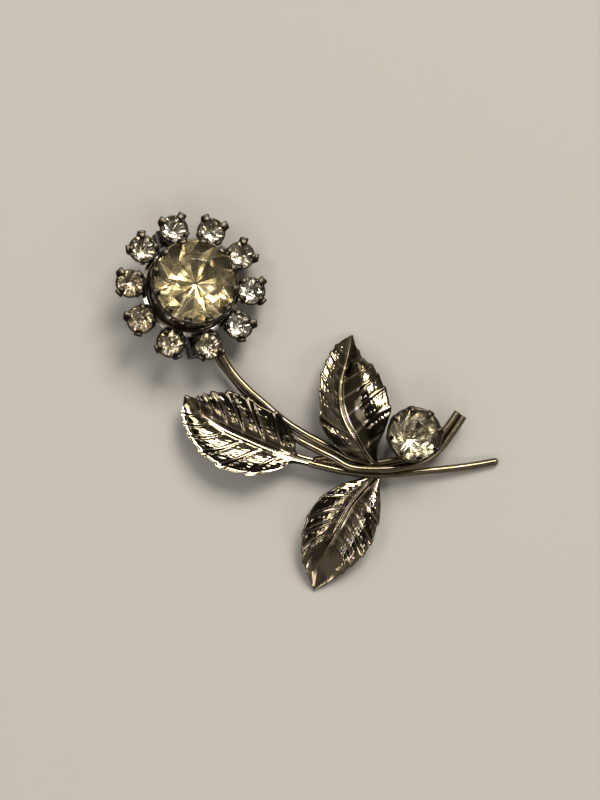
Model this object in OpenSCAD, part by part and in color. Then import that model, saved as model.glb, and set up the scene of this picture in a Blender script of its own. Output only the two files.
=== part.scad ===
/* [Flower head] */
// Diameter of the centre stone
centre_stone_d = 10; // [9.6:0.1:10.2]
// Diameter of each petal stone
petal_stone_d = 3.1; // [2.8:0.1:3.2]
// Number of petal settings round the centre stone
petal_count = 10; // [8:1:10]
// Radius of the circle that the petal settings stand on
petal_circle_r = 7.45; // [7.4:0.05:7.8]
// Angle by which the flower head leans over its pin
head_lean = 12; // [8:0.5:13]

/* [Bud] */
// Diameter of the bud's stone
bud_stone_d = 6.2; // [5.6:0.1:6.4]
// Angle by which the bud leans away from the upper leaf
bud_lean = 4; // [0:0.5:8]

/* [Stem and leaves] */
// Diameter of the three stem wires
wire_d = 0.92; // [0.8:0.02:1]
// Thickness of the stamped leaf metal
leaf_t = 0.45; // [0.35:0.05:0.6]
// Height of the veins over the leaf
vein_h = 0.16; // [0.05:0.01:0.25]
// How far the teeth of a leaf stand out
tooth_depth = 0.3; // [0:0.05:0.4]

/* [Pin back] */
// Length of the bar behind the flower head
bar_l = 16; // [14:0.5:16.5]
// Width of the bar
bar_w = 1.7; // [1.4:0.1:2]
// Thickness of the bar
bar_t = 0.7; // [0.5:0.1:0.9]
// Diameter of the pin that goes through the cloth
pin_d = 0.8; // [0.6:0.05:0.9]
// Distance from the bar's face to the pin's axis
pin_drop = 1.55; // [1.4:0.05:1.8]

/* [Fit] */
// Gap between neighbouring pieces
gap = 0.04; // [0.02:0.01:0.06]

/* [Hidden] */

gunmetal = [0.36, 0.33, 0.29];
champagne = [0.86, 0.76, 0.54];
clear_glass = [0.80, 0.80, 0.77];

// Brings the middle of the whole brooch over the origin
centre_shift = [-0.43, 0.07, 0];

// Proportions of a cut stone, as shares of its diameter
table_r = 0.25;
crown_h = 0.17;
girdle_h = 0.03;
pavilion_h = 0.40;
crown_slope = (crown_h - girdle_h / 2) / (0.5 - table_r);

// Sizes of each kind of setting: wall, floor, base_r as a share of the rim, number of
// prongs, angle of the first one, its width, its thickness, its reach over the stone, and
// how far the prongs on the outer side stand off before they fold
WALL = 0;
FLOOR = 1;
BASE = 2;
PRONGS = 3;
PHASE = 4;
CLAW_W = 5;
CLAW_T = 6;
REACH = 7;
FLARE = 8;
petal_cup = [0.2, 0.2, 0.86, 4, 45, 0.6, 0.26, 0.45, 0.32];
centre_cup = [0.3, 0.3, 0.80, 12, 2.5, 0.9, 0.35, 0.6, 0];
bud_cup = [0.25, 0.3, 0.72, 8, -2, 0.8, 0.3, 0.6, 0];

// Flower head: the centre of its rolled rim, and the direction that it leans to
head_x = -14.04;
head_y = 13.63;
lean_turn = 16.5;
rim_r = 5.6;
rim_d = 0.9;
plate_t = 0.5;

// Pin back, in the flower head's frame: the bar lies left of the stem's ends
bar_side = -1.15;
knuckle_r = 1.1;
hook_wall = 0.45;
hook_l = 1.8;
pin_overlap = 0.2;
bar_top = -rim_d / 2 - gap;
pin_axis_z = bar_top - bar_t - pin_drop;

// The head's height lets the rounded knuckle and hook touch the surface below
head_z = bar_side * sin(head_lean) - pin_axis_z * cos(head_lean) + knuckle_r;

bud_x = 13.05;
bud_y = -4.39;
bud_z = 2.25;
bud_lean_turn = 10;

// Rows of a leaf, from its stalk to its tip: the midrib's point, then the rim's point on
// the left and on the right of someone who walks along the midrib to the tip
left_leaf_rows = [
    [1.40, -7.75, 2.60, 1.30, -8.25, 2.70, 1.55, -7.15, 2.70],
    [-1.20, -7.10, 2.70, -1.55, -7.75, 2.85, -0.95, -6.45, 2.85],
    [-2.60, -6.65, 2.65, -3.40, -8.50, 3.20, -1.25, -4.90, 3.45],
    [-4.90, -5.75, 2.50, -6.30, -9.05, 3.65, -3.05, -2.10, 3.80],
    [-7.30, -4.70, 2.35, -9.10, -8.65, 3.80, -5.50, -0.75, 3.75],
    [-9.40, -3.75, 2.25, -11.60, -7.30, 3.70, -8.00, 0.60, 3.55],
    [-11.20, -2.65, 2.25, -13.45, -5.35, 3.45, -10.40, 0.92, 3.35],
    [-12.60, -1.60, 2.40, -14.60, -3.10, 3.20, -12.20, 0.68, 3.20],
    [-13.75, -0.45, 2.65, -14.97, -1.05, 3.05, -13.35, 0.35, 3.10],
    [-14.63, 0.60, 3.00, -14.70, 0.55, 3.02, -14.58, 0.66, 3.02]
];
upper_leaf_rows = [
    [8.30, -7.75, 3.10, 7.70, -7.95, 3.15, 8.85, -7.50, 3.15],
    [7.35, -6.45, 3.20, 5.60, -7.25, 3.50, 8.95, -5.60, 3.55],
    [6.35, -4.75, 3.25, 3.35, -5.40, 4.15, 9.70, -3.70, 3.95],
    [5.25, -2.90, 3.15, 2.05, -3.30, 4.40, 10.25, -1.90, 3.90],
    [4.60, -0.95, 2.95, 1.80, -0.90, 4.40, 10.25, -0.20, 3.60],
    [4.42, 1.00, 2.65, 1.80, 1.15, 4.10, 9.75, 1.45, 3.20],
    [4.60, 2.80, 2.30, 1.98, 3.00, 3.60, 9.05, 2.95, 2.70],
    [4.95, 4.30, 1.90, 2.55, 4.50, 3.00, 8.30, 4.35, 2.20],
    [5.35, 5.90, 1.45, 3.30, 6.10, 2.25, 7.15, 5.30, 1.70],
    [5.65, 7.20, 0.95, 4.35, 7.40, 1.40, 6.30, 6.90, 1.15],
    [5.85, 8.30, 0.45, 5.78, 8.30, 0.47, 5.92, 8.27, 0.47]
];
lower_leaf_rows = [
    [8.95, -9.00, 1.86, 9.35, -9.35, 1.95, 8.40, -8.70, 1.95],
    [8.05, -10.15, 1.95, 9.15, -10.90, 2.20, 6.60, -9.55, 2.30],
    [6.95, -11.30, 2.00, 9.22, -12.70, 2.65, 4.60, -10.15, 2.75],
    [5.95, -12.50, 2.05, 9.05, -14.20, 2.95, 2.90, -11.15, 3.05],
    [5.05, -13.85, 2.00, 8.65, -15.65, 3.05, 1.35, -12.50, 3.15],
    [4.20, -15.35, 1.90, 8.05, -17.35, 3.00, 0.30, -14.25, 3.10],
    [3.40, -16.80, 1.70, 7.15, -18.75, 2.70, -0.25, -16.10, 2.90],
    [2.65, -18.15, 1.45, 5.90, -19.95, 2.25, -0.40, -18.00, 2.50],
    [1.95, -19.70, 1.15, 4.45, -21.15, 1.70, -0.20, -19.85, 1.95],
    [1.45, -21.30, 0.80, 2.90, -22.20, 1.10, 0.40, -21.50, 1.25],
    [1.15, -23.05, 0.45, 1.22, -23.05, 0.47, 1.08, -23.02, 0.47]
];

// How far each half of a leaf swells between midrib and rim, left and right
left_leaf_swell = [0.25, 0.35];
upper_leaf_swell = [0.20, 0.90];
lower_leaf_swell = [0.65, 0.45];

// Relief of a leaf. Each side vein ends in a tooth of the margin, and the four rows of
// facets of a vein are the panel behind it, its two feet and its crest
vein_count = 7;
vein_first = 0.12;
vein_pitch = 0.112;
vein_foot = 0.013;
vein_sweep = 0.17;
panel_swell = 0.08;
// Two raised lines beside the midrib's groove, and the columns of facets beyond them
midrib_crest = 0.36;
midrib_foot = 0.64;
midrib_h = 0.2;
leaf_columns = [0.38, 0.62, 0.84, 1];

// Stem wires: [x, y, depth below the head's rim plane] where they lie under the flower
// head, then [x, y, z] of the free stretch
wire_a_under = [[-11.60, 9.60, 0], [-10.85, 7.20, 0], [-10.12, 5.45, 0]];
wire_b_under = [[-12.55, 9.35, 0.15], [-11.80, 7.48, 0.60], [-10.60, 5.15, 0.75]];
wire_a_free = [
    [-8.83, 3.42, 2.20], [-6.99, 1.38, 2.40], [-5.02, -0.37, 2.65], [-2.78, -2.33, 2.90],
    [-0.31, -4.00, 3.00], [2.03, -5.24, 2.90], [3.85, -6.18, 2.60], [5.60, -7.10, 2.45],
    [8.00, -7.70, 2.50], [11.20, -7.30, 2.70], [13.76, -6.65, 2.70], [15.66, -5.37, 2.55],
    [17.28, -3.36, 2.30], [18.60, -1.40, 2.00]
];
wire_b_free = [
    [-9.06, 3.10, 1.45], [-7.30, 0.95, 1.50], [-5.32, -0.95, 1.65], [-3.25, -2.88, 2.05],
    [-0.95, -4.76, 2.85], [1.62, -6.17, 3.05], [3.49, -7.11, 3.10], [5.07, -8.04, 3.10],
    [6.66, -8.41, 3.10], [9.45, -8.45, 3.05], [11.75, -8.20, 2.95], [14.24, -7.49, 2.75],
    [16.30, -6.09, 2.50], [18.08, -3.96, 2.20], [19.42, -2.00, 1.90]
];
wire_c_free = [
    [0.40, -7.64, 2.62], [1.40, -7.94, 2.56], [2.75, -8.26, 2.50], [4.41, -8.60, 2.45],
    [6.28, -8.88, 2.40], [8.61, -9.06, 2.30], [11.59, -8.90, 2.00], [14.02, -8.65, 1.65],
    [17.68, -8.29, 1.10], [20.73, -7.87, 0.70], [23.35, -7.40, 0.46]
];
wire_sides = 8;

// Solder that has run between the wires and the left leaf's stalk
solder_points = [[0.87, -7.41, 2.68], [2.90, -7.32, 2.69], [5.30, -8.05, 2.67]];
solder_r = 0.54;

// Curves through the rows of a table
function blend(a, b, c, d, t) =
    (2 * b + (c - a) * t + (2 * a - 5 * b + 4 * c - d) * t * t
    + (3 * b - a - 3 * c + d) * t * t * t) / 2;
function row_at(rows, s) =
    let (
        last = len(rows) - 1,
        i = min(floor(s), last - 1),
        before = rows[max(i - 1, 0)],
        after = rows[min(i + 2, last)]
    )
    blend(before, rows[i], rows[i + 1], after, s - i);
function smooth(points, steps) =
    let (last = len(points) - 1)
    [for (k = [0:last * steps]) row_at(points, k / steps)];
function unit(v) = v / norm(v);

// A point on the head's rim plane is lowered by the lean
function under_head(p) =
    let (
        along = (p[0] - head_x) * cos(lean_turn) + (p[1] - head_y) * sin(lean_turn),
        below = rim_d / 2 + gap + wire_d / 2 + p[2]
    )
    [p[0], p[1], head_z - along * tan(head_lean) - below / cos(head_lean)];

// Rows of facets of a leaf: [place from stalk to tip, vein's lift, panel's lift, tooth]
leaf_stations = concat(
    [[0, 0, 0, 0]],
    [for (k = [0:vein_count - 1])
        let (v = vein_first + k * vein_pitch)
        each [[v - vein_pitch / 2, 0, 1, k == 0 ? 0 : 0.1],
              [v - vein_foot, 0, 0.3, k == 0 ? 0 : 0.75],
              [v, 1, 0, k == 0 ? 0.2 : 1],
              [v + vein_foot, 0, 0.3, k == 0 ? 0 : -0.5]]],
    [[0.95, 0, 0, 0], [1, 0, 0, 0]]
);

// Side veins run on towards the tip: how far grows from the stalk and ends at the tip
function sweep_at(v) = vein_sweep * min(1, v / 0.3) * min(1, (1 - v) / 0.45);

// Point of a half leaf: side is -1 for the left and 1 for the right, column counts from
// the midrib to the rim, and station is one of leaf_stations
function leaf_point(rows, swell, side, column, station) =
    let (
        wide = row_at(rows, station[0] * (len(rows) - 1)),
        near_w = norm([for (i = [0:2]) wide[side < 0 ? 3 + i : 6 + i] - wide[i]]),
        a = column == 0 ? 0
            : column == 1 ? min(midrib_crest / near_w, 0.15)
            : column == 2 ? min(midrib_foot / near_w, 0.27)
            : leaf_columns[column - 3],
        s = (station[0] + sweep_at(station[0]) * pow(a, 1.2)) * (len(rows) - 1),
        r = row_at(rows, s),
        mid = [r[0], r[1], r[2]],
        rim = side < 0 ? [r[3], r[4], r[5]] : [r[6], r[7], r[8]],
        half_w = norm(rim - mid),
        fade = min(1, half_w / 3),
        out = a == 1 && half_w > 0.5 ? 1 + tooth_depth * station[3] / half_w : 1,
        bulge = (side < 0 ? swell[0] : swell[1]) * fade * sin(180 * a),
        vein = column > 1 ? vein_h * station[1] * (1 - 0.5 * a) : 0,
        panel = panel_swell * station[2] * sin(180 * a),
        groove = column == 1 ? midrib_h * min(1, 1.6 * (1 - station[0])) : 0
    )
    mid + (rim - mid) * a * out + [0, 0, bulge + fade * (vein + panel + groove)];

// Closed solid between two grids of points: rows of equal length, top over bottom
module grid_solid(top, bottom) {
    rows = len(top);
    columns = len(top[0]);
    total = rows * columns;
    function at(i, j) = i * columns + j;
    points = concat([for (r = top) each r], [for (r = bottom) each r]);
    faces = concat(
        [for (i = [0:rows - 2], j = [0:columns - 2])
            each [[at(i, j), at(i + 1, j), at(i + 1, j + 1)],
                  [at(i, j), at(i + 1, j + 1), at(i, j + 1)]]],
        [for (i = [0:rows - 2], j = [0:columns - 2])
            each [[total + at(i, j), total + at(i + 1, j + 1), total + at(i + 1, j)],
                  [total + at(i, j), total + at(i, j + 1), total + at(i + 1, j + 1)]]],
        [for (i = [0:rows - 2])
            each [[at(i, 0), total + at(i, 0), total + at(i + 1, 0)],
                  [at(i, 0), total + at(i + 1, 0), at(i + 1, 0)]]],
        [for (i = [0:rows - 2])
            each [[at(i, columns - 1), at(i + 1, columns - 1), total + at(i + 1, columns - 1)],
                  [at(i, columns - 1), total + at(i + 1, columns - 1), total + at(i, columns - 1)]]],
        [for (j = [0:columns - 2])
            each [[at(0, j), at(0, j + 1), total + at(0, j + 1)],
                  [at(0, j), total + at(0, j + 1), total + at(0, j)]]],
        [for (j = [0:columns - 2])
            each [[at(rows - 1, j), total + at(rows - 1, j), total + at(rows - 1, j + 1)],
                  [at(rows - 1, j), total + at(rows - 1, j + 1), at(rows - 1, j + 1)]]]
    );
    polyhedron(points = points, faces = faces, convexity = 6);
}

// Solid swept along points: the section is a list of [side, up], wide as scales says
module sweep(points, section, scales) {
    n = len(points);
    m = len(section);
    function tangent(i) = unit(points[min(i + 1, n - 1)] - points[max(i - 1, 0)]);
    rings = [
        for (i = [0:n - 1])
            let (
                t = tangent(i),
                side = unit(cross(t, [0, 0, 1])),
                up = cross(side, t)
            )
            for (q = section) points[i] + (side * q[0] + up * q[1]) * scales[i]
    ];
    faces = concat(
        [[for (j = [m - 1:-1:0]) j]],
        [for (i = [0:n - 2], j = [0:m - 1])
            let (k = (j + 1) % m)
            each [[i * m + j, (i + 1) * m + k, (i + 1) * m + j],
                  [i * m + j, i * m + k, (i + 1) * m + k]]],
        [[for (j = [0:m - 1]) (n - 1) * m + j]]
    );
    polyhedron(points = rings, faces = faces, convexity = 6);
}

// Wire with a cut end, or with a rounded one that adds two narrower rings
module wire(points, rounded = false) {
    section = [
        for (j = [0:wire_sides - 1])
            let (a = 360 * j / wire_sides)
            [cos(a), sin(a)] * wire_d / 2
    ];
    curve = smooth(points, 2);
    end = curve[len(curve) - 1];
    ahead = unit(end - curve[len(curve) - 2]) * wire_d / 2;
    tip = rounded ? [end + ahead * 0.6, end + ahead * 0.95] : [];
    sweep(concat(curve, tip), section, concat([for (p = curve) 1], rounded ? [0.8, 0.3] : []));
}

// Stamped leaf: the back follows the front, as in pressed sheet
module leaf(rows, swell) {
    edge = len(leaf_columns) + 2;
    places = concat(
        [for (c = [edge:-1:1]) [-1, c]],
        [for (c = [0:edge]) [1, c]]
    );
    top = [
        for (station = leaf_stations)
            [for (q = places) leaf_point(rows, swell, q[0], q[1], station)]
    ];
    bottom = [for (r = top) [for (p = r) p - [0, 0, leaf_t]]];
    grid_solid(top, bottom);
}

// Height of the girdle's middle over the base of a setting
function girdle_z(d, kind) = kind[FLOOR] + gap + pavilion_h * d;
function rim_radius(d, kind) = d / 2 + gap + kind[WALL];

// One claw of a setting: it stands on the cup's wall, off by flare, and folds over the
// stone's crown
module claw(d, kind, flare) {
    gz = girdle_z(d, kind);
    t = kind[CLAW_T];
    foot_r = d / 2 + gap + t / 2 + 0.02;
    knee_r = foot_r + flare;
    tip_in = d / 2 - kind[REACH];
    tip_z = gz + girdle_h * d / 2 + kind[REACH] * crown_slope + gap + t / 3;
    knee_z = gz + girdle_h * d / 2 + t;
    hull() {
        translate([foot_r, 0, gz * 0.55]) cube([t * 0.7, kind[CLAW_W] * 0.8, 0.1], center = true);
        translate([knee_r, 0, knee_z]) cube([t, kind[CLAW_W], t * 0.6], center = true);
    }
    hull() {
        translate([knee_r, 0, knee_z]) cube([t, kind[CLAW_W], t * 0.6], center = true);
        translate([tip_in + t / 2, 0, tip_z]) {
            cube([t, kind[CLAW_W] * 0.6, t * 0.6], center = true);
        }
    }
}

// Cup of a setting with its claws: the base stands on z = 0
module setting(d, kind, facets) {
    gz = girdle_z(d, kind);
    top_r = rim_radius(d, kind);
    base_r = top_r * kind[BASE];
    seat_r = d / 2 + gap;
    rotate_extrude($fn = facets) {
        polygon([
            [0, 0], [base_r, 0], [top_r, gz], [seat_r, gz],
            [seat_r * 0.97, gz - 0.12 * d], [base_r - 2 * kind[WALL], kind[FLOOR]],
            [0, kind[FLOOR]]
        ]);
    }
    for (k = [0:kind[PRONGS] - 1]) {
        turn = kind[PHASE] + 360 * k / kind[PRONGS];
        rotate([0, 0, turn]) claw(d, kind, cos(turn) > 0 ? kind[FLARE] : 0);
    }
}

// Cut glass stone with its girdle's middle on z = 0: an eight-sided table, eight crown
// facets with sixteen between them, and sixteen pavilion facets
module cut_stone(d) {
    function ring(r, z, n) = [
        for (k = [0:n - 1])
            let (a = 360 * k / n)
            [r * d * cos(a), r * d * sin(a), z * d]
    ];
    points = concat(
        ring(table_r, crown_h, 8),
        ring(0.5, girdle_h / 2, 16),
        ring(0.5, -girdle_h / 2, 16),
        [[0, 0, -pavilion_h * d]]
    );
    upper = 8;
    lower = 24;
    culet = 40;
    faces = concat(
        [[for (k = [7:-1:0]) k]],
        [for (k = [0:7])
            let (
                next = (k + 1) % 8,
                g0 = upper + 2 * k,
                g1 = upper + 2 * k + 1,
                g2 = upper + (2 * k + 2) % 16
            )
            each [[k, g1, g0], [k, next, g1], [next, g2, g1]]],
        [for (k = [0:15])
            let (next = (k + 1) % 16)
            each [[upper + k, upper + next, lower + next],
                  [upper + k, lower + next, lower + k],
                  [lower + k, lower + next, culet]]]
    );
    polyhedron(points = points, faces = faces, convexity = 2);
}

module in_head() {
    translate(centre_shift + [head_x, head_y, head_z])
        rotate([0, 0, lean_turn])
            rotate([0, head_lean, 0])
                children();
}

// Places its children at the base of petal setting k, whose own +X points outwards
module at_petal(k) {
    in_head()
        rotate([0, 0, 18 + 360 * (k - 1) / petal_count])
            translate([petal_circle_r, 0, -rim_d / 2])
                children();
}

module in_bud() {
    translate(centre_shift + [bud_x, bud_y, bud_z])
        rotate([0, 0, bud_lean_turn])
            rotate([0, bud_lean, 0])
                children();
}

module leaf_spray() {
    color(gunmetal) union() {
        translate(centre_shift) {
            wire(concat([for (p = wire_a_under) under_head(p)], wire_a_free));
            wire(concat([for (p = wire_b_under) under_head(p)], wire_b_free));
            wire(wire_c_free, rounded = true);
            leaf(left_leaf_rows, left_leaf_swell);
            leaf(upper_leaf_rows, upper_leaf_swell);
            leaf(lower_leaf_rows, lower_leaf_swell);
            hull() {
                for (p = solder_points) translate(p) sphere(r = solder_r, $fn = 10);
            }
        }
        in_bud() setting(bud_stone_d, bud_cup, 32);
    }
}

module flower_mount() {
    color(gunmetal) union() {
        in_head() {
            rotate_extrude($fn = 44) translate([rim_r, 0]) circle(d = rim_d, $fn = 10);
            translate([0, 0, -rim_d / 2]) cylinder(r = rim_r, h = plate_t, $fn = 44);
            setting(centre_stone_d, centre_cup, 44);
        }
        for (k = [1:petal_count]) at_petal(k) setting(petal_stone_d, petal_cup, 18);
    }
}

module pin_back() {
    color(gunmetal) in_head() translate([bar_side, 0, 0]) {
        // Bar against the back of the head
        translate([-bar_w / 2, -bar_l / 2, bar_top - bar_t]) cube([bar_w, bar_l, bar_t]);
        // Knuckle at the upper end, with the pin's root in it
        translate([0, bar_l / 2 - hook_l, pin_axis_z]) rotate([-90, 0, 0]) {
            cylinder(r = knuckle_r, h = hook_l, $fn = 48);
        }
        translate([-bar_w / 2, bar_l / 2 - hook_l, pin_axis_z]) cube([bar_w, hook_l, pin_drop]);
        // Hook at the lower end, open on one side
        translate([0, -bar_l / 2, pin_axis_z]) rotate([-90, 0, 0]) {
            difference() {
                cylinder(r = knuckle_r, h = hook_l, $fn = 48);
                translate([0, 0, -0.1]) {
                    cylinder(r = knuckle_r - hook_wall, h = hook_l + 0.2, $fn = 48);
                }
                translate([0, -knuckle_r * 0.7, -0.1]) {
                    cube([knuckle_r + 0.1, knuckle_r * 0.85, hook_l + 0.2]);
                }
            }
        }
        translate([-bar_w / 2, -bar_l / 2, pin_axis_z + knuckle_r - 0.1]) {
            cube([bar_w, hook_l, pin_drop - knuckle_r + 0.1]);
        }
        // Pin, which lies on the hook's floor
        translate([0, -bar_l / 2, pin_axis_z - (knuckle_r - hook_wall - pin_d / 2) - 0.05]) {
            rotate([-90, 0, 0]) cylinder(d = pin_d, h = bar_l - hook_l + pin_overlap, $fn = 32);
        }
    }
}

module centre_stone() {
    color(champagne) in_head() {
        translate([0, 0, girdle_z(centre_stone_d, centre_cup)]) cut_stone(centre_stone_d);
    }
}

module bud_stone() {
    color(clear_glass) in_bud() {
        translate([0, 0, girdle_z(bud_stone_d, bud_cup)]) cut_stone(bud_stone_d);
    }
}

module petal_stone(k) {
    color(clear_glass) at_petal(k) {
        translate([0, 0, girdle_z(petal_stone_d, petal_cup)]) cut_stone(petal_stone_d);
    }
}

leaf_spray();
flower_mount();
pin_back();
centre_stone();
bud_stone();
for (k = [1:petal_count]) {
    petal_stone(k);
}
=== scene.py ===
import math

import bmesh
import bpy
import numpy as np
from mathutils import Matrix, Vector


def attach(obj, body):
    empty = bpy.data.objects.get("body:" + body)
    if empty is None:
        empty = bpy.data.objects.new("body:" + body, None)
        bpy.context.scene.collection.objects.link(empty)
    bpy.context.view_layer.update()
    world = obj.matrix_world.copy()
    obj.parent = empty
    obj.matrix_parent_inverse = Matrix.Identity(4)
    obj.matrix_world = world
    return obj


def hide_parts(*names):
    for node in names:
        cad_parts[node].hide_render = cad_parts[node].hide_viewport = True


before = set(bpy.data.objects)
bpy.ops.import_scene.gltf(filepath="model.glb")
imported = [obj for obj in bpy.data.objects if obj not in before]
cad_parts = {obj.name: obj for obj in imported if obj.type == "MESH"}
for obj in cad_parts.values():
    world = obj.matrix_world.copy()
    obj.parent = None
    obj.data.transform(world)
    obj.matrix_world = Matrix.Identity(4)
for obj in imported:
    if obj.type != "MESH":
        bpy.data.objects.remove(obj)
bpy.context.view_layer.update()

MM = 0.001
bpy.context.scene.world = bpy.data.worlds.new("studio_room")

# The three leaves are stamped from thin brass sheet with a steel die, which raises the veins
# and the fine hatching between them and cuts the toothed margin. Each is dished along its
# midrib and bent down to its tip, then plated dark.
CENTRE_SHIFT = Vector((-0.43, 0.07, 0))
# Rows run from the stalk to the tip, in millimetres before the shift: x, y and z of the
# midrib, then of the margin on the left and on the right of that way
LEFT_LEAF_ROWS = [
    [1.40, -7.75, 2.60, 1.30, -8.25, 2.70, 1.55, -7.15, 2.70],
    [-1.20, -7.10, 2.70, -1.55, -7.75, 2.85, -0.95, -6.45, 2.85],
    [-2.60, -6.65, 2.65, -3.40, -8.50, 3.20, -1.25, -4.90, 3.45],
    [-4.90, -5.75, 2.50, -6.30, -9.05, 3.65, -3.05, -2.10, 3.80],
    [-7.30, -4.70, 2.35, -9.10, -8.65, 3.80, -5.50, -0.75, 3.75],
    [-9.40, -3.75, 2.25, -11.60, -7.30, 3.70, -8.00, 0.60, 3.55],
    [-11.20, -2.65, 2.25, -13.45, -5.35, 3.45, -10.40, 0.92, 3.35],
    [-12.60, -1.60, 2.40, -14.60, -3.10, 3.20, -12.20, 0.68, 3.20],
    [-13.75, -0.45, 2.65, -14.97, -1.05, 3.05, -13.35, 0.35, 3.10],
    [-14.63, 0.60, 3.00, -14.70, 0.55, 3.02, -14.58, 0.66, 3.02],
]
UPPER_LEAF_ROWS = [
    [8.30, -7.75, 3.10, 7.70, -7.95, 3.15, 8.85, -7.50, 3.15],
    [7.35, -6.45, 3.20, 5.60, -7.25, 3.50, 8.95, -5.60, 3.55],
    [6.35, -4.75, 3.25, 3.35, -5.40, 4.15, 9.70, -3.70, 3.95],
    [5.25, -2.90, 3.15, 2.05, -3.30, 4.40, 10.25, -1.90, 3.90],
    [4.60, -0.95, 2.95, 1.80, -0.90, 4.40, 10.25, -0.20, 3.60],
    [4.42, 1.00, 2.65, 1.80, 1.15, 4.10, 9.75, 1.45, 3.20],
    [4.60, 2.80, 2.30, 1.98, 3.00, 3.60, 9.05, 2.95, 2.70],
    [4.95, 4.30, 1.90, 2.55, 4.50, 3.00, 8.30, 4.35, 2.20],
    [5.35, 5.90, 1.45, 3.30, 6.10, 2.25, 7.15, 5.30, 1.70],
    [5.65, 7.20, 0.95, 4.35, 7.40, 1.40, 6.30, 6.90, 1.15],
    [5.85, 8.30, 0.45, 5.78, 8.30, 0.47, 5.92, 8.27, 0.47],
]
LOWER_LEAF_ROWS = [
    [8.95, -9.00, 1.86, 9.35, -9.35, 1.95, 8.40, -8.70, 1.95],
    [8.05, -10.15, 1.95, 9.15, -10.90, 2.20, 6.60, -9.55, 2.30],
    [6.95, -11.30, 2.00, 9.22, -12.70, 2.65, 4.60, -10.15, 2.75],
    [5.95, -12.50, 2.05, 9.05, -14.20, 2.95, 2.90, -11.15, 3.05],
    [5.05, -13.85, 2.00, 8.65, -15.65, 3.05, 1.35, -12.50, 3.15],
    [4.20, -15.35, 1.90, 8.05, -17.35, 3.00, 0.30, -14.25, 3.10],
    [3.40, -16.80, 1.70, 7.15, -18.75, 2.70, -0.25, -16.10, 2.90],
    [2.65, -18.15, 1.45, 5.90, -19.95, 2.25, -0.40, -18.00, 2.50],
    [1.95, -19.70, 1.15, 4.45, -21.15, 1.70, -0.20, -19.85, 1.95],
    [1.45, -21.30, 0.80, 2.90, -22.20, 1.10, 0.40, -21.50, 1.25],
    [1.15, -23.05, 0.45, 1.22, -23.05, 0.47, 1.08, -23.02, 0.47],
]
ROLLED_DOWN, RAISED_LIP = (-0.14, 0.16), (0.20, 0.45)
# Pairs hold the left half's value, then the right half's. Places along a leaf run from 0 at
# the stalk to 1 at the tip, and lengths are in millimetres. swell is the height of a half's
# soft bulge, which is full from swell_from on. hatch_from is the width of the plain strip by
# the midrib, hatch_until the place where the hatching ends, and bars the number of its strokes
# across a panel. The pair for how bright the plain parts are is partly wear and partly painted
# shade: it is low on halves that lie in shade. tip_lip lifts the margin near the tip, edge is
# the margin's rise and width, tooth the length of its teeth, and veins_until the place where
# the side veins end. The rib's crest is its distance from the middle, and trace is the share
# of its height that goes on to the tip.
LEAVES = {
    "leaf_left": {
        "rows": LEFT_LEAF_ROWS, "swell": (0.42, 0.45), "swell_from": (0.01, 0.01),
        "hatch_from": (0.5, 0.9), "hatch_until": (0.52, 0.50), "bars": (2, 3),
        "plain_wear_and_shade": (0.16, 0.12), "tip_lip": (0, 0), "edge": (RAISED_LIP, ROLLED_DOWN),
        "rib": {"crest": 0.0, "width": 0.38, "height": 0.26, "until": 0.80, "trace": 0.2},
        "tooth": 0.30, "veins_until": 0.97,
    },
    # The upper leaf's right half has its plain parts painted almost black, as shade.
    "leaf_upper": {
        "rows": UPPER_LEAF_ROWS, "swell": (0.20, 0.90), "swell_from": (0.01, 0.40),
        "hatch_from": (0.5, 2.2), "hatch_until": (0.80, 0.56), "bars": (3, 2),
        "plain_wear_and_shade": (0.24, 0.04), "tip_lip": (0, 0), "edge": (ROLLED_DOWN, ROLLED_DOWN),
        "rib": {"crest": 0.20, "width": 0.11, "height": 0.07, "until": 0.7, "trace": 0.1},
        "tooth": 0.20, "veins_until": 0.85,
    },
    "leaf_lower": {
        "rows": LOWER_LEAF_ROWS, "swell": (0.65, 0.45), "swell_from": (0.01, 0.01),
        "hatch_from": (0.5, 0.7), "hatch_until": (0.58, 0.60), "bars": (3, 2),
        "plain_wear_and_shade": (0.28, 0.24), "tip_lip": (0, 0.8), "edge": (ROLLED_DOWN, ROLLED_DOWN),
        "rib": {"crest": 0.21, "width": 0.12, "height": 0.15, "until": 0.62, "trace": 0.0},
        "tooth": 0.16, "veins_until": 0.66,
    },
}
LEAF_THICKNESS = 0.45
FULL_RELIEF_W = 3.0
LEAF_STATIONS, HALF_LEAF_COLUMNS = 250, 62
# The side veins, and the groove that the die cut on the stalk's side of each
VEIN_COUNT, VEIN_FIRST, VEIN_PITCH, VEIN_SWEEP = 7, 0.12, 0.112, 0.17
SWEEP_FROM, SWEEP_TO, SWEEP_POWER = 0.30, 0.45, 1.2
VEIN_FOOT, VEIN_HEIGHT, VEIN_WIDTH, VEIN_THINNING = 0.012, 0.075, 0.75, 0.45
GROOVE_DEPTH, GROOVE_PLACE, GROOVE_WIDTH = 0.05, 1.9, 0.9
PANEL_SWELL, PANEL_POWER = 0.05, 0.7
# The hatching: slanting rows of bars, cut by hand and so a little uneven
HATCH_PITCH, HATCH_HEIGHT, HATCH_LEAN, ROW_SHIFT = 0.48, 0.055, 0.7, 0.37
HATCH_WOBBLE, BAR_WOBBLE, BAR_FADE = 0.08, 0.7, 0.28
VEIN_CLEARANCE, MARGIN_CLEARANCE, STRIP_EASE, HATCH_EASE = 1.1, 0.15, 0.5, 0.18
HOLLOW_RUB, VEIN_RUB, EDGE_RUB_HEIGHT = 0.30, 0.6, 0.1
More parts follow.
